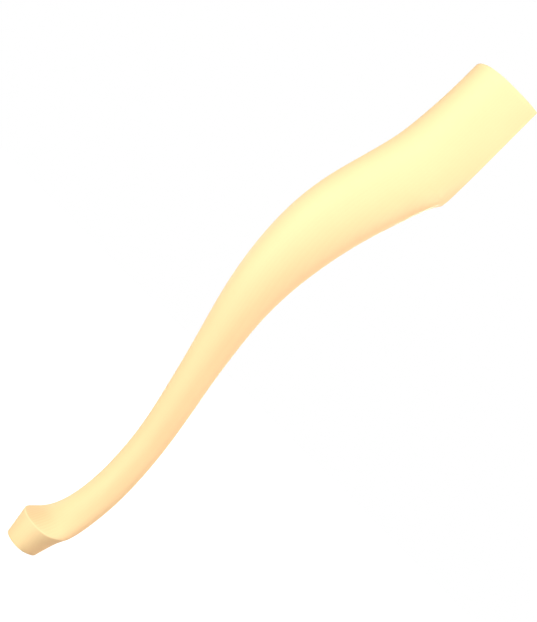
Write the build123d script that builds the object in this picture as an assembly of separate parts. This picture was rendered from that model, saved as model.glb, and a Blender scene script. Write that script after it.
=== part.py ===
from build123d import *
import math
import os

# A cabriole table leg, carved from one square blank of pale wood.
# The origin is the middle of the sole, on the floor, and +Z is up.
# The leg is alike on both sides of the upright plane where X equals Y.
# Its toe points to -X and -Y, and its square inner corner to +X and +Y.
# The outlines below are drawn from the post's upright axis, outwards negative and inwards
# positive, and the same outline is sawn on both pairs of sides of the blank.

# Whole leg
leg_height = 710.0

# Post at the top, with two flat inner faces for the rails
flat_distance = 37.8       # from the post's axis to each flat inner face
flat_length = 135.2        # from the top down to the lower tip of each flat face
shoulder_step = 4.6        # how far the shoulder under a flat face steps in, at 45 degrees

# Saw line behind the knee: distance below the shoulder, and distance from the post's axis
saw_line = [
    (14.2, 27.1),
    (27.2, 22.5),
    (42.2, 18.6),
]

# Head: distance below the top, then the outer and the inner line of the section. Down to the
# knee the inner line lies outside the flat faces and the saw line, which cut the section there.
head_sections = [
    (0.0, -44.6, 60.0),
    (20.0, -44.6, 60.0),
    (50.0, -45.4, 59.0),
    (80.0, -47.4, 56.0),
    (110.0, -50.7, 46.0),
    (130.0, -54.5, 38.9),
    (150.0, -59.3, 32.6),
    (170.0, -64.2, 22.8),
    (192.0, -69.5, 14.5),
]

# Shaft: outer and inner line at equal steps between the head and the ankle, from the knee down
shaft_sections = [
    (-76.4, 1.8),
    (-77.5, -7.1),
    (-73.7, -12.3),
    (-65.9, -12.7),
    (-54.9, -8.4),
    (-43.7, -2.2),
    (-33.7, 5.6),
    (-25.3, 12.2),
    (-21.1, 16.0),
]

# Ankle and top of the foot: height, then the outer and the inner line. The lowest three flare
# past the wall of the foot, which cuts them.
ankle_sections = [
    (90.0, -22.0, 16.1),
    (60.0, -28.4, 12.7),
    (44.0, -36.9, 9.3),
    (36.0, -45.2, 6.4),
    (29.0, -53.7, 4.2),
    (15.0, -70.0, 7.0),
    (0.0, -80.0, 12.0),
]

# Sections are squarer at the post than at the ankle: 2 is round, and more is squarer
post_squareness = 2.5
ankle_squareness = 2.0

# Wall of the foot, a taper: height, lean towards the heel, radius, and how far out the two flatter
# sides lie as a share of the radius. It is round but for those two sides, which are flattest at
# the sole, and it is carried up past the crest, where it meets the hollow top of the foot.
sole_middle = -26.3        # middle of the sole from the post's axis, along X and along Y
sole_radius = 19.6
wall_sections = [
    (0.0, 0.0, sole_radius, 0.92),
    (15.0, 0.9, 23.0, 0.95),
    (30.0, 2.3, 27.0, 1.05),
    (52.0, 7.5, 35.8, 1.2),
]
side_turn = 100.0          # how far round from the toe the flatter sides face, in degrees
side_power = 8             # how suddenly the round wall turns into them
crest_radius = 1.5
sole_edge_radius = 1.2

section_points = 24        # points that each closed outline is drawn through


def squareness(height):
    """How square the section is at a height, even along the shaft."""
    lowest = ankle_sections[0][0]
    highest = leg_height - flat_length
    share = min(max((height - lowest) / (highest - lowest), 0), 1)
    return ankle_squareness + share * (post_squareness - ankle_squareness)


def closed_outline(points):
    """A face inside a smooth closed line that gives each step between its points an equal share."""
    shares = [step / len(points) for step in range(len(points) + 1)]
    return Face(Wire([Edge.make_spline(points, periodic=True, parameters=shares)]))


def rounded_section(height, outer, inner):
    """One closed section, the same along X and along Y, whose middle may not pass the axis."""
    power = squareness(height)
    middle = min((outer + inner) / 2, 0)
    points = []
    for step in range(section_points):
        angle = math.radians(45 + 360 * step / section_points)
        along_x, along_y = math.cos(angle), math.sin(angle)
        reach_x = inner - middle if along_x > 0 else middle - outer
        reach_y = inner - middle if along_y > 0 else middle - outer
        size = (abs(along_x / reach_x) ** power + abs(along_y / reach_y) ** power) ** (-1 / power)
        points.append((middle + size * along_x, middle + size * along_y, height))
    return closed_outline(points)


def carved_body():
    """The S-shaped body, from the top of the post down into the foot."""
    rows = [(leg_height - below, outer, inner) for below, outer, inner in head_sections]
    head_end, ankle_start = rows[-1][0], ankle_sections[0][0]
    spacing = (head_end - ankle_start) / (len(shaft_sections) + 1)
    for count, (outer, inner) in enumerate(shaft_sections, start=1):
        rows.append((head_end - count * spacing, outer, inner))
    rows += ankle_sections
    return loft([rounded_section(*row) for row in rows])


def sawn_away():
    """What one saw cut takes off: the flat face, the shoulder and the line behind the knee."""
    far = 2 * leg_height
    flat_bottom = leg_height - flat_length
    shoulder = flat_bottom - shoulder_step
    corner = Vector(flat_distance, 0, flat_bottom)
    line = [Vector(flat_distance - shoulder_step, 0, shoulder)]
    line += [Vector(distance, 0, shoulder - below) for below, distance in saw_line]
    outline = Wire([
        Line(Vector(flat_distance, 0, far), corner),
        Line(corner, line[0]),
        Spline(*line),
        Line(line[-1], Vector(far, 0, line[-1].Z)),
        Line(Vector(far, 0, line[-1].Z), Vector(far, 0, far)),
        Line(Vector(far, 0, far), Vector(flat_distance, 0, far)),
    ])
    return Pos(0, -leg_height, 0) * extrude(Face(outline), far, dir=(0, 1, 0))


def wall_ring(height, lean, radius, side_share):
    """One ring of the foot's wall: round, with a flatter side on each side of the toe."""
    middle = sole_middle + lean
    toe = 225
    points = []
    for step in range(section_points):
        angle = 45 + 360 * step / section_points
        closeness = 1
        for side in (toe - side_turn, toe + side_turn):
            facing = max(math.cos(math.radians(angle - side)), 0)
            closeness += (facing / side_share) ** side_power
        reach = radius * closeness ** (-1 / side_power)
        along_x, along_y = math.cos(math.radians(angle)), math.sin(math.radians(angle))
        points.append((middle + reach * along_x, middle + reach * along_y, height))
    return closed_outline(points)


def outside_foot_wall():
    """What the tapering wall of the foot takes off the flare."""
    wall = loft([wall_ring(*row) for row in wall_sections])
    top = wall_sections[-1][0]
    return Pos(0, 0, top / 2) * Box(leg_height, leg_height, top) - wall


def rounded_foot(leg):
    """The leg with the crest of its foot and the edge of its sole rounded over."""
    sole_edges = leg.faces().sort_by(Axis.Z)[0].edges()
    leg = fillet(sole_edges, sole_edge_radius)
    crest_edges = []
    for edge in leg.edges():
        box = edge.bounding_box()
        if box.min.Z > 2 * sole_edge_radius and box.max.Z < wall_sections[-1][0]:
            crest_edges.append(edge)
    return fillet(crest_edges, crest_radius)


first_cut = sawn_away()
second_cut = mirror(first_cut, Plane((0, 0, 0), z_dir=(1, -1, 0)))
leg = carved_body() - first_cut - second_cut - outside_foot_wall()
leg = rounded_foot(leg)
leg = Pos(-sole_middle, -sole_middle, 0) * leg

os.makedirs("parts", exist_ok=True)
export_step(leg, "parts/leg.step")
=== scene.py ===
# %% [markdown]
# # A curved table leg in pale wood
# The part is one piece of wood: a cabriole leg with a square post at the top, a full knee, a slim
# ankle and a small round foot with a crest. The first step loads the imported model, which stays the
# measure for everything that is modelled here.

# %% Load the model
import math

import bmesh
import bpy
import numpy as np
from mathutils import Matrix, Vector


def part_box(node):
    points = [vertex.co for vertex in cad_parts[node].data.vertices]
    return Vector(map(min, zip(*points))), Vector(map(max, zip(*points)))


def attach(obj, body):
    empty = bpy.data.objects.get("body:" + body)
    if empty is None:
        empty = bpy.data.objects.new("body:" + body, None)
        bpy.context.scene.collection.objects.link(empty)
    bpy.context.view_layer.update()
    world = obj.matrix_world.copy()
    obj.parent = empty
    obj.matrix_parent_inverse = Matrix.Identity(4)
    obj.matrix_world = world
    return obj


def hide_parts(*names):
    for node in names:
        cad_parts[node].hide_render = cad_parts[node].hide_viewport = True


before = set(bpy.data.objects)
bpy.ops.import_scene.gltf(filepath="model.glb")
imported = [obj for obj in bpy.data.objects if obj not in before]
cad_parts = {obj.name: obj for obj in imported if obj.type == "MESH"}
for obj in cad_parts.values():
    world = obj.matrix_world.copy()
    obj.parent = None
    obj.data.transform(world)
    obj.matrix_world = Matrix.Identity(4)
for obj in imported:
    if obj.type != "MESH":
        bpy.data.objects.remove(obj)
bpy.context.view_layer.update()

# %% [markdown]
# The picture shows the leg tilted: its upright line runs from the lower left to the upper right.
# The leg itself stays upright here, and the camera rolls instead, because other views need a leg
# that stands on its foot. The camera is level and looks along Y, square to the sides of the post.

# %% Camera
mm = 0.001
sole_to_axis = 26.3              # from the middle of the sole to the post's axis, along X and along Y
camera_distance = 1146.2 * mm    # from the lens to the post's axis
aim_sideways = -15.05 * mm       # the middle of the picture, from the post's axis
aim_height = 361.6 * mm
roll = math.radians(45)
frame_height = 622               # pixels, the longer side of the picture
focal_pixels = 1050.0            # how strongly the picture narrows towards the back
sensor_size = 36.0               # millimetres, along the longer side

camera_data = bpy.data.cameras.new("camera")
camera_data.sensor_fit = "AUTO"
camera_data.sensor_width = sensor_size
camera_data.lens = sensor_size * focal_pixels / frame_height
camera_data.clip_start = 0.05
camera_data.clip_end = 30
camera = bpy.data.objects.new("camera", camera_data)
bpy.context.scene.collection.objects.link(camera)
across = Vector((math.cos(roll), 0, math.sin(roll)))
upwards = Vector((-math.sin(roll), 0, math.cos(roll)))
backwards = across.cross(upwards)
axis_place = sole_to_axis * mm
camera_place = Vector((axis_place + aim_sideways, axis_place - camera_distance, aim_height))
turned = Matrix((across, upwards, backwards)).transposed().to_4x4()
camera.matrix_world = Matrix.Translation(camera_place) @ turned
bpy.context.scene.camera = camera
print("camera at", [round(value, 3) for value in camera_place], "lens", round(camera_data.lens, 1))

# %% [markdown]
# The wood was sawn and carved by four lines: the outer and the inner line of the S-shaped body, the
# saw line of the flat inner faces, and the round wall of the foot. They are the carver's templates,
# so they come first. Distances are millimetres from the post's axis, outwards negative and inwards
# positive, and the same lines hold on both pairs of sides of the blank.

# %% The lines of the carved body
low_corner, high_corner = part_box("leg")
leg_height = (high_corner.z - low_corner.z) / mm
flat_distance = 37.8             # from the axis to each flat inner face
flat_length = 135.2              # from the top to the lower tip of each flat face
shoulder_step = 4.6              # the 45 degree shoulder under a flat face
saw_line = [(14.2, 27.1), (27.2, 22.5), (42.2, 18.6)]    # below the shoulder, distance from the axis

head_rows = [                    # below the top, outer line, inner line
    (0.0, -44.6, 60.0), (20.0, -44.6, 60.0), (50.0, -45.4, 59.0), (80.0, -47.4, 56.0),
    (110.0, -50.7, 46.0), (130.0, -54.5, 38.9), (150.0, -59.3, 32.6), (170.0, -64.2, 22.8),
    (192.0, -69.5, 14.5),
]
shaft_rows = [                   # outer line, inner line, at even steps down the shaft
    (-76.4, 1.8), (-77.5, -7.1), (-73.7, -12.3), (-65.9, -12.7), (-54.9, -8.4), (-43.7, -2.2),
    (-33.7, 5.6), (-25.3, 12.2), (-21.1, 16.0),
]
ankle_rows = [                   # height, outer line, inner line
    (90.0, -22.0, 16.1), (60.0, -28.4, 12.7), (44.0, -36.9, 9.3), (36.0, -45.2, 6.4),
    (29.0, -53.7, 4.2), (15.0, -70.0, 7.0), (0.0, -80.0, 12.0),
]
wall_rows = [                    # height, lean, radius, share at the sides
    (0.0, 0.0, 19.6, 0.92), (15.0, 0.9, 23.0, 0.95), (30.0, 2.3, 27.0, 1.05), (52.0, 7.5, 35.8, 1.2),
]

rows = [(leg_height - below, outer, inner) for below, outer, inner in head_rows]
shaft_step = (rows[-1][0] - ankle_rows[0][0]) / (len(shaft_rows) + 1)
shaft_top = rows[-1][0]
for count, (outer, inner) in enumerate(shaft_rows, start=1):
    rows.append((shaft_top - shaft_step * count, outer, inner))
rows = np.array(rows + ankle_rows)
print(len(rows), "rows from the top of the post down to the floor")

# %% [markdown]
# A draughtsman lays a bendy strip through the rows and draws along it. A natural cubic spline is the
# same thing in numbers. It is written once as weights: at any place along the leg it says how much
# each row counts, so that one helper serves the body, the saw line and the wall of the foot.

# %% A bendy strip through a few stations
def strip(stations):
    """Gives a function that weighs the stations' values at any place along a smooth line."""
    stations = np.array(stations, float)
    count = len(stations)
    step = np.diff(stations)
    bend = np.eye(count)
    pull = np.zeros((count, count))
    for k in range(1, count - 1):
        bend[k, k - 1:k + 2] = step[k - 1], 2 * (step[k - 1] + step[k]), step[k]
        pull[k, k - 1:k + 2] = 6 / step[k - 1], -6 / step[k - 1] - 6 / step[k], 6 / step[k]
    curvature = np.linalg.solve(bend, pull)
    pick = np.eye(count)

    def weights(place):
        """How much each station counts at a place."""
        k = int(np.clip(np.searchsorted(stations, place) - 1, 0, count - 2))
        gap = step[k]
        before, after = (stations[k + 1] - place) / gap, (place - stations[k]) / gap
        straight = before * pick[k] + after * pick[k + 1]
        bow = (before**3 - before) * curvature[k] + (after**3 - after) * curvature[k + 1]
        return straight + bow * gap**2 / 6

    return weights


halvings = 40


def root(function, low, high):
    """Where a function changes its sign between two places, found by halving the way between them."""
    ends_positive = function(high) > 0
    for _ in range(halvings):
        middle = (low + high) / 2
        if (function(middle) > 0) == ends_positive:
            high = middle
        else:
            low = middle
    return (low + high) / 2


places = [0.0]
for above, below in zip(rows, rows[1:]):
    places.append(places[-1] + float(np.linalg.norm(above - below)))
body_weights = strip(places)
print("the strip along the body is", round(places[-1]), "mm long")

# %% Section of the body
post_squareness = 2.5            # 2 is round, more is squarer
ankle_squareness = 2.0
inner_corner, outer_corner = math.radians(45), math.radians(-135)
knee_height = 440.0
row_heights, row_outer, row_inner = rows.T
row_power = np.interp(row_heights, [ankle_rows[0][0], leg_height - flat_length],
                      [ankle_squareness, post_squareness])
row_middle = np.minimum((row_outer + row_inner) / 2, 0)
inward, outward = row_inner - row_middle, row_middle - row_outer


def place_at(height):
    """The place on the strip where the body has this height."""
    return root(lambda place: body_weights(place) @ row_heights - height, places[0], places[-1])


def carved(place, angle):
    """A point of the carved body: its place along the strip, and the angle from the +X side."""
    along_x, along_y = math.cos(angle), math.sin(angle)
    reach_x = inward if along_x > 0 else outward
    reach_y = inward if along_y > 0 else outward
    size = (abs(along_x / reach_x) ** row_power + abs(along_y / reach_y) ** row_power) ** (-1 / row_power)
    points = np.stack([row_middle + size * along_x, row_middle + size * along_y, row_heights])
    return points @ body_weights(place)


print("the knee's front corner is at", carved(place_at(knee_height), outer_corner).round(1))

# %% [markdown]
# Half of the leg is enough, because it is alike on both sides of the upright plane between the two
# flats. The half is skinned with one sheet of squares: its rows go down the leg and its columns go
# round, from the square inner corner over one flat face and the front to the front corner. The
# columns follow the edges of the flat face as long as there is one, so that each edge is a clean
# line of mesh edges that can be bevelled. Lower down they spread out evenly.

# %% Columns of the sheet
corner_columns, flat_columns, outer_columns = 10, 10, 40
columns = corner_columns + flat_columns + outer_columns
even_angles = np.linspace(inner_corner, outer_corner, columns + 1)
narrowest_flat = math.radians(6)       # the flat's columns keep this angle on each side of +X
spread_height = 380.0            # below this height the columns are evenly spread
print("a row of the sheet has", columns + 1, "points")

# %% Where the saw cuts
saw_top = leg_height - flat_length - shoulder_step
saw_stations = [0.0] + [below for below, distance in saw_line]
saw_distances = np.array([flat_distance - shoulder_step] + [distance for below, distance in saw_line])
saw_weights = strip(saw_stations)
saw_bottom = saw_top - saw_stations[-1]


def saw_distance(height):
    """How far the sawn faces are from the axis at a height."""
    if height >= saw_top:
        return min(flat_distance, flat_distance - shoulder_step + height - saw_top)
    if height > saw_bottom:
        return float(saw_weights(saw_top - height) @ saw_distances)
    return leg_height            # farther out than any wood, so nothing is cut


def flat_edges(place, limit):
    """The angles of a flat face's inner and outer edge, or None where the saw misses the body."""
    def beyond(angle):
        return carved(place, angle)[0] - limit

    if beyond(0) <= 0:
        return None
    inner = inner_corner if beyond(inner_corner) >= 0 else root(beyond, 0, inner_corner)
    return inner, root(beyond, 0, -math.pi / 2)


print("the saw cuts from the top down to", round(saw_bottom), "mm above the floor")

# %% One row of the sheet
def ring(height):
    """The points of one row of the sheet, from the inner corner to the outer corner."""
    place = place_at(height)
    limit = saw_distance(height)
    edges = flat_edges(place, limit)
    wide = edges is not None and min(edges[0], -edges[1]) > narrowest_flat
    inner, outer = narrowest_flat, -narrowest_flat
    if edges is not None:
        inner, outer = max(edges[0], inner), min(edges[1], outer)
    angles = np.concatenate([
        np.linspace(inner_corner, inner, corner_columns + 1),
        np.linspace(inner, outer, flat_columns + 1)[1:],
        np.linspace(outer, outer_corner, outer_columns + 1)[1:],
    ])
    share = np.clip((saw_bottom - height) / (saw_bottom - spread_height), 0, 1)
    share = share * share * (3 - 2 * share)          # eased at both ends
    angles = angles * (1 - share) + even_angles * share
    points = np.array([carved(place, angle) for angle in angles])
    points[:, :2] = np.minimum(points[:, :2], limit)
    if wide:                     # a sawn row is straight
        flat = slice(corner_columns, corner_columns + flat_columns + 1)
        points[flat] = np.linspace(points[flat][0], points[flat][-1], flat_columns + 1)
    return points


print("the top row spans", np.ptp(ring(leg_height), axis=0)[:2].round(1), "mm along X and Y")

# %% [markdown]
# Under the ankle the body flares out like a trumpet, and the wall of the foot stops it. Seen from
# above the wall is round, with one flatter side on each side of the toe, where light and shade meet
# in a soft upright line on the real foot. Where flare and wall meet is the crest. It runs uphill from
# the toe to the heel, so the rows of the sheet can't stay level there: each column has its own crest
# point, and the rows are shared out above and below it.

# %% Wall of the foot
sole_middle = -sole_to_axis
ankle_top = ankle_rows[0][0]
wall_heights, wall_lean, wall_radius, side_shares = np.array(wall_rows).T
wall_weights = strip(wall_heights)
toe = math.radians(225)          # the way the toe points, from the +X side
side_turn = math.radians(100)    # the flatter sides face this far round from the toe
side_power = 8                   # how suddenly the round wall turns into them


def wall_middle(height):
    """The middle of the foot's wall at a height, the same along X and along Y."""
    return sole_middle + wall_weights(height) @ wall_lean


def wall_reach(height, turn):
    """How far out the wall of the foot lies at a height, in one direction from its middle."""
    closeness = 1
    for side in (toe - side_turn, toe + side_turn):
        closeness += (max(math.cos(turn - side), 0) / side_shares) ** side_power
    return wall_weights(height) @ (wall_radius * closeness ** (-1 / side_power))


print("at the sole the wall reaches", round(wall_reach(0, toe), 1), "mm at the toe and",
      round(wall_reach(0, toe + side_turn), 1), "mm at its flatter sides")

# %% Columns of the foot
flare_rows, wall_steps = 24, 9


def foot_column(angle):
    """The points of one column of the sheet, from the ankle over the crest down to the sole."""
    def outside(place):
        point = carved(place, angle)
        away_x, away_y = point[:2] - wall_middle(point[2])
        return math.hypot(away_x, away_y) - wall_reach(point[2], math.atan2(away_y, away_x))

    start = place_at(ankle_top)
    crest_place = root(outside, place_at(wall_heights[-1]), place_at(wall_heights[1]))
    points = [carved(place, angle) for place in np.linspace(start, crest_place, flare_rows + 1)[1:]]
    crest = points[-1]
    away_x, away_y = crest[:2] - wall_middle(crest[2])
    turn = math.atan2(away_y, away_x)
    for height in np.linspace(crest[2], 0, wall_steps + 1)[1:]:
        middle, reach = wall_middle(height), wall_reach(height, turn)
        points.append(np.array([middle + reach * math.cos(turn), middle + reach * math.sin(turn), height]))
    return points


front = foot_column(outer_corner)
print("the crest's front is", round(front[flare_rows - 1][2], 1), "mm high")

# %% Rows of the sheet
row_spacing = 5.0
stops = [leg_height, leg_height - flat_length, saw_top, saw_bottom, ankle_top]
levels = [stops[0]]
for above, below in zip(stops, stops[1:]):
    count = math.ceil((above - below) / row_spacing)
    levels += list(np.linspace(above, below, count + 1)[1:])
sheet = np.array([ring(height) for height in levels])
foot = np.array([foot_column(angle) for angle in even_angles]).transpose(1, 0, 2)
sheet = np.concatenate([sheet, foot])
crest_row = len(levels) + flare_rows - 1
print("the sheet has", len(sheet), "rows; the crest runs from", sheet[crest_row, :, 2].min().round(1),
      "to", sheet[crest_row, :, 2].max().round(1), "mm high")

# %% [markdown]
# The sheet itself comes from one operator, a flat grid. Each of its points is then laid on the leg,
# as veneer is laid on a form, and the other half is its mirror image. The top of the post and the
# sole are the two holes that are left, and each is filled with one face.

# %% Lay the sheet on the leg
merge_distance, sliver_length = 0.02 * mm, 0.001 * mm
leg_mesh = bmesh.new()
bmesh.ops.create_grid(leg_mesh, x_segments=columns, y_segments=len(sheet) - 1, size=1)
for vertex in leg_mesh.verts:                        # the grid runs from -1 to 1 each way
    column = round((vertex.co.x + 1) / 2 * columns)
    row = round((vertex.co.y + 1) / 2 * (len(sheet) - 1))
    vertex.co = (Vector(sheet[row, column]) + Vector((-sole_middle, -sole_middle, 0))) * mm
everything = leg_mesh.verts[:] + leg_mesh.edges[:] + leg_mesh.faces[:]
bmesh.ops.mirror(leg_mesh, geom=everything, matrix=Matrix.Rotation(math.radians(45), 4, "Z"), axis="X")
bmesh.ops.remove_doubles(leg_mesh, verts=leg_mesh.verts[:], dist=merge_distance)
bmesh.ops.dissolve_degenerate(leg_mesh, edges=leg_mesh.edges[:], dist=sliver_length)
bmesh.ops.holes_fill(leg_mesh, edges=[edge for edge in leg_mesh.edges if edge.is_boundary])
bmesh.ops.recalc_face_normals(leg_mesh, faces=leg_mesh.faces[:])
print("open edges:", sum(not edge.is_manifold for edge in leg_mesh.edges), "faces:", len(leg_mesh.faces),
      "volume", round(leg_mesh.calc_volume() * 1e6), "cm3")

# %% [markdown]
# No edge of sanded wood is razor sharp. The crest is rounded most, as on the real leg, the sole a
# little, and the arrises of the post just enough to catch the light. Sandpaper leaves a rounded edge
# a touch paler than the faces beside it, and the light line along the crest is partly that and
# partly a painted highlight. The new points in the middle of each rounding therefore keep a number
# that says how pale they are, and the wood reads it further down.

# %% Round the edges
sharp_angle = math.radians(14)
foot_top = wall_rows[-1][0] * mm
roundings = [                    # name, lowest and highest point, width, steps, paleness
    ("sole", -1.0 * mm, 0.1 * mm, 1.0 * mm, 3, 0.2),
    ("crest", 3.0 * mm, foot_top, 2.0 * mm, 5, 1.0),
    ("post", foot_top, high_corner.z + 1.0 * mm, 0.5 * mm, 3, 0.2),
]
# paler colour on the rounded edges: sanding, and on the crest also a painted highlight
sanding_and_highlight = leg_mesh.verts.layers.float.new("sanding_and_highlight")


def sharp_edges(lowest, highest):
    """The sharp edges that lie between two heights."""
    edges = [edge for edge in leg_mesh.edges if edge.is_manifold and edge.calc_face_angle() > sharp_angle]
    return [edge for edge in edges if all(lowest < end.co.z < highest for end in edge.verts)]


for name, lowest, highest, width, steps, paleness in roundings:
    edges = sharp_edges(lowest, highest)
    bevel = bmesh.ops.bevel(leg_mesh, geom=edges, offset=width, offset_type="OFFSET", segments=steps,
                            profile=0.5, affect="EDGES", clamp_overlap=True, material=-1)
    new_points = set(bevel["verts"])
    for point in new_points:
        if all(edge.other_vert(point) in new_points for edge in point.link_edges):
            point[sanding_and_highlight] = paleness
    print(name, "rounded over along", len(edges), "edges")
bmesh.ops.recalc_face_normals(leg_mesh, faces=leg_mesh.faces[:])

# %% [markdown]
# The bmesh now becomes an object. It is attached to the body that it rides on, which is the only one
# here, and the CAD solid that it stands in for is hidden.

# %% Make it a piece of the model
mesh = bpy.data.meshes.new("carved_leg")
leg_mesh.to_mesh(mesh)
leg_mesh.free()
mesh.shade_smooth()
leg = bpy.data.objects.new("carved_leg", mesh)
bpy.context.scene.collection.objects.link(leg)
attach(leg, "root")
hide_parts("leg")
print("leg made of", len(mesh.polygons), "faces")

# %% [markdown]
# A finish is a web of shader nodes, and most of its links are plain arithmetic. The small class below
# wraps one socket, so that such arithmetic can be written as a Python expression. One method adds
# any other node: its settings first, then the values or links of its sockets. It gives back the
# node's first output, and another output is asked for by its name.

# %% Node arithmetic
class Link:
    """A shader value that can be added, subtracted, multiplied and so on."""

    def __init__(self, tree, socket=None):
        self.tree, self.socket = tree, socket

    def node(self, kind, settings=None, **sockets):
        """Adds a node with its settings and its sockets' values or links, and gives its first output."""
        node = self.tree.nodes.new(kind)
        for name, value in (settings or {}).items():
            setattr(node, name, value)
        for name, value in sockets.items():
            key = int(name[1:]) if name[1:].isdigit() else name.replace("_", " ")
            if isinstance(value, Link):
                self.tree.links.new(value.socket, node.inputs[key])
            else:
                node.inputs[key].default_value = value
        return Link(self.tree, node.outputs[0] if node.outputs else None)

    def output(self, name):
        """Another output of the node that this value comes from."""
        return Link(self.tree, self.socket.node.outputs[name])

    def math(self, operation, first, second):
        return self.node("ShaderNodeMath", {"operation": operation}, i0=first, i1=second)

    def __add__(self, other):
        return self.math("ADD", self, other)

    def __radd__(self, other):
        return self.math("ADD", other, self)

    def __sub__(self, other):
        return self.math("SUBTRACT", self, other)

    def __rsub__(self, other):
        return self.math("SUBTRACT", other, self)

    def __mul__(self, other):
        return self.math("MULTIPLY", self, other)

    def __rmul__(self, other):
        return self.math("MULTIPLY", other, self)

    def highest(self, other):
        return self.math("MAXIMUM", self, other)


def empty_tree(owner):
    """Clears the nodes of a material or a world, and gives a wrapper to build with."""
    owner.use_nodes = True
    owner.node_tree.nodes.clear()
    return Link(owner.node_tree)


# %% [markdown]
# The leg is shown on white paper. The camera has to see clean white, yet the paper may not throw
# more light on the wood than a studio would. The paper is therefore grey to the light and white to
# the eye: where a camera ray meets it, most of its brightness is its own, and the rest is lit, so
# that the leg still has a soft shadow under its foot. Farther off, where the lamps hardly reach,
# all of it is its own.

# %% White paper
def seen_directly(build):
    """1 where a ray comes from the camera, straight or by way of something glossy or clear, else 0."""
    path = build.node("ShaderNodeLightPath")
    straight, glossy, clear = [path.output(f"Is {kind} Ray") for kind in ("Camera", "Glossy", "Transmission")]
    return straight.highest(glossy).highest(clear)


white = (1, 1, 1, 1)
paper_glow, paper_grey = 0.88, 0.37
shadow_reach, lamp_reach = 0.25, 0.9                 # metres from the leg
paper = bpy.data.materials.new("white_paper")
build = empty_tree(paper)
on_paper = build.node("ShaderNodeTexCoord").output("Object")
from_leg = build.node("ShaderNodeVectorMath", {"operation": "LENGTH"}, Vector=on_paper).output("Value")
far_off = build.node("ShaderNodeMapRange", Value=from_leg, From_Min=shadow_reach, From_Max=lamp_reach)
strength = far_off * (1 - paper_glow) + paper_glow
glow = build.node("ShaderNodeEmission", Color=white, Strength=strength)
matt = build.node("ShaderNodeBsdfDiffuse", Color=(paper_grey, paper_grey, paper_grey, 1))
shown = build.node("ShaderNodeAddShader", i0=glow, i1=matt)
mixed = build.node("ShaderNodeMixShader", i0=seen_directly(build), i1=matt, i2=shown)
build.node("ShaderNodeOutputMaterial", Surface=mixed)
print("paper made of", len(paper.node_tree.nodes), "nodes")

# %% Floor and surroundings
paper_size = 8.0
paper_mesh = bmesh.new()
bmesh.ops.create_grid(paper_mesh, x_segments=1, y_segments=1, size=paper_size / 2)
floor_mesh = bpy.data.meshes.new("paper_floor")
paper_mesh.to_mesh(floor_mesh)
paper_mesh.free()
floor = bpy.data.objects.new("paper_floor", floor_mesh)
floor.data.materials.append(paper)
bpy.context.scene.collection.objects.link(floor)

world = bpy.data.worlds.new("studio")
bpy.context.scene.world = world
build = empty_tree(world)
ambient = 0.01
brightness = ambient + seen_directly(build) * (1.0 - ambient)
sky = build.node("ShaderNodeBackground", Color=white, Strength=brightness)
build.node("ShaderNodeOutputWorld", Surface=sky)
bpy.context.scene.view_settings.view_transform = "Standard"
print("paper floor", paper_size, "m wide")

# %% [markdown]
# The real leg is bare, close-grained pale wood, sanded smooth. In the photograph it is almost one
# colour, a warm cream, and only a faint mottle shows. A picture of wood wrapped round the leg would
# show its seams and stretch over the knee. The leg is cut from one block, so the pattern here is
# solid too: every point takes its colour from its place in the block. The yearly layers are wide
# tubes round the middle of the tree, which lies outside the block, and the fibres run up the leg.

# %% Layers and fibres of the block
wood = bpy.data.materials.new("pale_wood")
build = empty_tree(wood)
in_block = build.node("ShaderNodeTexCoord")


def along_grain(middle, squeeze):
    """Places in the block, measured from an upright line, with the way up the grain squeezed."""
    return build.node("ShaderNodeMapping", Vector=in_block.output("Object"),
                      Location=(-middle[0], -middle[1], 0), Scale=(1, 1, squeeze))


def mottle(squeeze, size, detail=3.0):
    """Noise between 0 and 1 whose patches are this wide, and longer up the grain."""
    return build.node("ShaderNodeTexNoise", Vector=along_grain((0, 0), squeeze), Scale=1 / size,
                      Detail=detail, Roughness=0.6)


tree_middle = (-110 * mm, 40 * mm)
layer_width = 3.2 * mm
wave_scale = math.tau / 20       # at this scale the wave texture has one ring per metre
ring_settings = {"wave_type": "RINGS", "rings_direction": "Z", "wave_profile": "SAW"}
layers = build.node("ShaderNodeTexWave", ring_settings, Vector=along_grain(tree_middle, squeeze=0.05),
                    Scale=wave_scale / layer_width, Distortion=2.4, Detail=2.0, Detail_Scale=0.25)
year = layers.output(1)
patches = mottle(squeeze=0.25, size=45 * mm)
fibres = mottle(squeeze=0.04, size=0.9 * mm)
pores = mottle(squeeze=0.12, size=0.35 * mm, detail=1.0)
print("yearly layers", layer_width / mm, "mm apart")

# %% [markdown]
# Where the grain is cut across, real wood soaks up light: it looks a shade darker there and its
# layers show more. The top of the post and the sole are cut straight across. The hollow of the foot
# is cut at a slant, and in the photograph it is a little darker than the wall below it. The
# surface's own direction tells how squarely the grain is cut, because the grain runs straight up.
# So surfaces that face more upward are darker, and in the hollow of the foot that darkening is
# painted shade as well as end grain. The sanded edges are the other way about, and take their
# paler tone from the number kept for them; along the crest that paler tone is also a painted highlight.

# %% Colour of the wood
cream, toast = (0.985, 0.742, 0.395, 1), (0.90, 0.62, 0.30, 1)
# the paler tone of the rounded edges is sanding and, along the crest, a painted highlight
sanding_highlight_tone, end_grain_shade_tone = (1.0, 0.80, 0.44, 1), (0.86, 0.60, 0.31, 1)
layer_tone, patch_tone, fibre_tone = 0.12, 0.10, 0.10    # how much toast each one adds at most
clear_wood = 0.06                                        # how much is taken off that everywhere
# the end tone is end grain on the top and sole, and painted shade in the slanted hollow of the foot
end_grain_shade_tint, end_grain_shade_layer_tint = 0.35, 0.5                     # end tone everywhere, and more in the layers
slant_start, slant_full = 0.3, 0.85                      # the normal's upright part, squared


def blend(share, first, second):
    """Mixes two colours."""
    return build.node("ShaderNodeMix", {"data_type": "RGBA"}, i0=share, i6=first, i7=second).output(2)


# surfaces that face upward are darker: end grain on the top and sole, painted shade in the hollow of the foot
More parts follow.
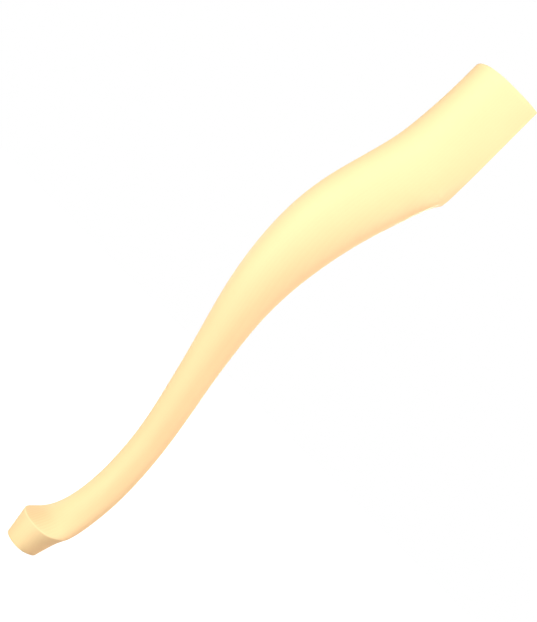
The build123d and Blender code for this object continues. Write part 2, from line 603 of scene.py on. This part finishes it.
upright = build.node("ShaderNodeSeparateXYZ", Vector=in_block.output("Normal")).output("Z")
end_grain_and_shade = build.node("ShaderNodeMapRange", Value=upright * upright,
                       From_Min=slant_start, From_Max=slant_full)
darker = year * layer_tone + patches * patch_tone + fibres * fibre_tone - clear_wood
# paler where the edges were rounded: sanding, with a painted highlight along the crest
sanding_highlight_share = build.node("ShaderNodeAttribute", {"attribute_name": "sanding_and_highlight"}).output("Fac")
side_colour = blend(sanding_highlight_share, blend(darker, cream, toast), sanding_highlight_tone)
colour = blend(end_grain_and_shade * (year * end_grain_shade_layer_tint + end_grain_shade_tint), side_colour, end_grain_shade_tone)
print("side grain mixes", cream[:3], "with a little", toast[:3])

# %% [markdown]
# Sanded wood without varnish has hardly any shine, and its pores keep the little that it has from
# being even. The roughness therefore follows the fibres, and a very shallow bump lets the fibres
# and pores be felt. Both are far too fine to change the outline, so neither is modelled as a shape.

# %% Sheen and touch
dullness, fibre_dullness = 0.56, 0.12
pore_depth = 0.5                 # next to the fibres
touch = fibres + pores * pore_depth
surface = build.node("ShaderNodeBump", Strength=0.25, Distance=0.05 * mm, Height=touch)
finish = build.node("ShaderNodeBsdfPrincipled", Base_Color=colour, Normal=surface,
                    Roughness=dullness + fibres * fibre_dullness, Specular_IOR_Level=0.12)
build.node("ShaderNodeOutputMaterial", Surface=finish)
leg.data.materials.append(wood)
print("wood made of", len(wood.node_tree.nodes), "nodes")

# %% [markdown]
# The photograph was lit softly from the lower left, with weaker light from above and from the right.
# One sun would give hard shading, so the studio has large square lamps, all turned to the middle of
# the leg. The one on the right is a little warmer, so that the shaded side stays as rosy as in the
# photograph. Two more of the same warmth stand behind the leg for whoever walks round it: from the
# camera's side they hardly show.

# %% Lamps
lamp_width = 0.6
leg_middle = Vector((0.02, 0.02, 0.36))
white_light, warm_light = (1, 1, 1), (1, 0.84, 0.84)
lamps = [                                            # name, place in metres, watts, colour
    ("low left", (-0.85, -1.55, 0.15), 39.0, white_light),
    ("above", (0.0, -0.6, 1.5), 9.5, white_light),
    ("right", (1.2, 0.2, 0.8), 18.0, warm_light),
    ("behind", (0.15, 1.7, 0.9), 20.0, warm_light),
    ("behind, left", (-1.1, 1.1, 0.3), 8.0, warm_light),
]
for name, place, power, tint in lamps:
    light = bpy.data.lights.new(name, "AREA")
    light.energy, light.color, light.size = power, tint, lamp_width
    lamp = bpy.data.objects.new(name, light)
    lamp.location = place
    lamp.rotation_euler = (lamp.location - leg_middle).to_track_quat("Z", "Y").to_euler()
    bpy.context.scene.collection.objects.link(lamp)
print(len(lamps), "lamps")
